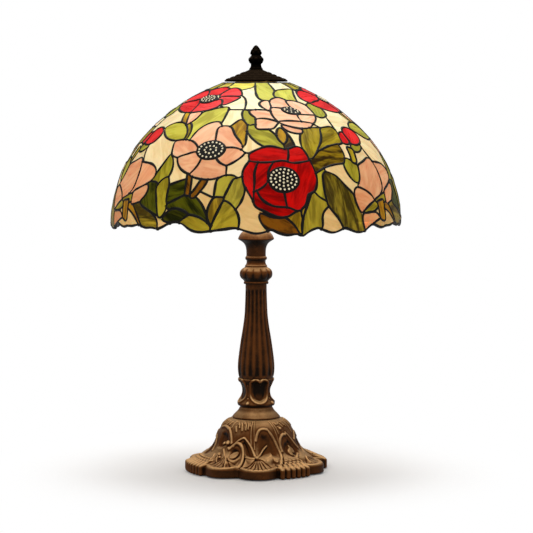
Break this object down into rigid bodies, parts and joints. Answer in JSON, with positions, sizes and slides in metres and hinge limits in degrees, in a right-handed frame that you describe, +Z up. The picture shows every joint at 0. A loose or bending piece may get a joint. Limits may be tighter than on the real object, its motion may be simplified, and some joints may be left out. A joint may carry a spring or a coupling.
{
  "type": "table lamp",
  "caption": "Table lamp with a leaded stained glass dome of poppies and roses on a cast, fluted column and a leafy round foot.",
  "frame": {"origin": "centre of the underside, on the surface the lamp stands on", "axes": "+Z up along the column, the front towards -Y, the sockets along X"},
  "size_m": [0.4, 0.4, 0.588],
  "materials": {
    "felt": "matt dark green felt",
    "ballast_iron": "rough cast iron",
    "antique_bronze": "antique bronze finish, brown on the raised work and nearly black in the hollows, satin",
    "black_plastic": "matt",
    "plated_steel": "zinc plated",
    "lamp_brass": "plain brass, slightly dulled",
    "socket_ceramic": "off-white glazed porcelain",
    "bulb_metal": "bright",
    "bulb_opal": "white coated bulb glass",
    "ivory_glass": "streaky opalescent glass, glossy",
    "green_glass": "streaky opalescent glass, glossy",
    "olive_glass": "dark streaky opalescent glass, glossy",
    "amber_glass": "streaky opalescent glass, glossy",
    "pink_glass": "streaky opalescent glass, glossy",
    "red_glass": "streaky opalescent glass, glossy",
    "black_patina": "solder with a black patina, satin",
    "dark_bronze": "nearly black bronze finish, satin"
  },
  "bodies": {
    "stand": {"felt_pad": "felt", "ballast_plate": "ballast_iron", "base_casting": "antique_bronze", "cord_bushing": "black_plastic", "pipe_washer": "plated_steel", "pipe_nut": "plated_steel", "lamp_pipe": "lamp_brass", "column_foot": "antique_bronze", "fluted_shaft": "antique_bronze", "knop": "antique_bronze", "neck": "antique_bronze", "vase_cup": "antique_bronze", "cup_nut": "lamp_brass", "cluster_body": "lamp_brass", "rod_nut": "lamp_brass", "socket_nipples": "lamp_brass", "socket_cap_left": "lamp_brass", "socket_cap_right": "lamp_brass", "socket_shell_left": "lamp_brass", "socket_shell_right": "lamp_brass", "socket_insulator_left": "socket_ceramic", "socket_insulator_right": "socket_ceramic", "chain_guide_left": "lamp_brass", "chain_guide_right": "lamp_brass", "shade_rod": "lamp_brass", "support_nut": "lamp_brass", "support_disc": "lamp_brass"},
    "shade": {"crown_ring": "lamp_brass", "ivory_panes": "ivory_glass", "green_panes": "green_glass", "olive_panes": "olive_glass", "amber_panes": "amber_glass", "pink_panes": "pink_glass", "red_panes": "red_glass", "solder_rings": "black_patina", "solder_ribs": "black_patina", "hem_wire": "black_patina", "heat_cap": "dark_bronze"},
    "washer": {"finial_washer": "lamp_brass"},
    "finial": {"finial": "dark_bronze", "finial_insert": "lamp_brass"},
    "chain_left": {"pull_chain_left": "lamp_brass", "chain_bell_left": "lamp_brass"},
    "chain_right": {"pull_chain_right": "lamp_brass", "chain_bell_right": "lamp_brass"},
    "contact_left": {"bulb_contact_left": "bulb_metal"},
    "contact_right": {"bulb_contact_right": "bulb_metal"},
    "bulb_left": {"bulb_cap_left": "bulb_metal", "bulb_glass_left": "bulb_opal"},
    "bulb_right": {"bulb_cap_right": "bulb_metal", "bulb_glass_right": "bulb_opal"}
  },
  "joints": [
    {"name": "shade_turn", "type": "hinge", "parent": "stand", "child": "shade", "pos_m": [0, 0, 0.5365], "axis": [0, 0, 1], "continuous": true},
    {"name": "finial_lift", "type": "slide", "parent": "stand", "child": "washer", "axis": [0, 0, 1], "range_m": [0, 0.0103]},
    {"name": "finial_turn", "type": "hinge", "parent": "washer", "child": "finial", "pos_m": [0, 0, 0.5542], "axis": [0, 0, 1], "range_deg": [0, 3960]},
    {"name": "pull_left", "type": "slide", "parent": "stand", "child": "chain_left", "axis": [0, 0, -1], "range_m": [0, 0.008], "stiffness_N_per_m": 400},
    {"name": "bulb_out_left", "type": "slide", "parent": "stand", "child": "contact_left", "axis": [-0.9063, 0, 0.4226], "range_m": [0, 0.0146]},
    {"name": "bulb_turn_left", "type": "hinge", "parent": "contact_left", "child": "bulb_left", "pos_m": [-0.03353, 0, 0.37264], "axis": [-0.9063, 0, 0.4226], "range_deg": [0, 1440]},
    {"name": "pull_right", "type": "slide", "parent": "stand", "child": "chain_right", "axis": [0, 0, -1], "range_m": [0, 0.008], "stiffness_N_per_m": 400},
    {"name": "bulb_out_right", "type": "slide", "parent": "stand", "child": "contact_right", "axis": [0.9063, 0, 0.4226], "range_m": [0, 0.0146]},
    {"name": "bulb_turn_right", "type": "hinge", "parent": "contact_right", "child": "bulb_right", "pos_m": [0.03353, 0, 0.37264], "axis": [0.9063, 0, 0.4226], "range_deg": [0, 1440]}
  ],
  "couplings": [
    {"joint": "finial_turn", "follows": "finial_lift", "rad_per_m": 6684},
    {"joint": "bulb_out_left", "follows": "bulb_turn_left", "m_per_rad": 0.000578},
    {"joint": "bulb_out_right", "follows": "bulb_turn_right", "m_per_rad": 0.000578}
  ]
}
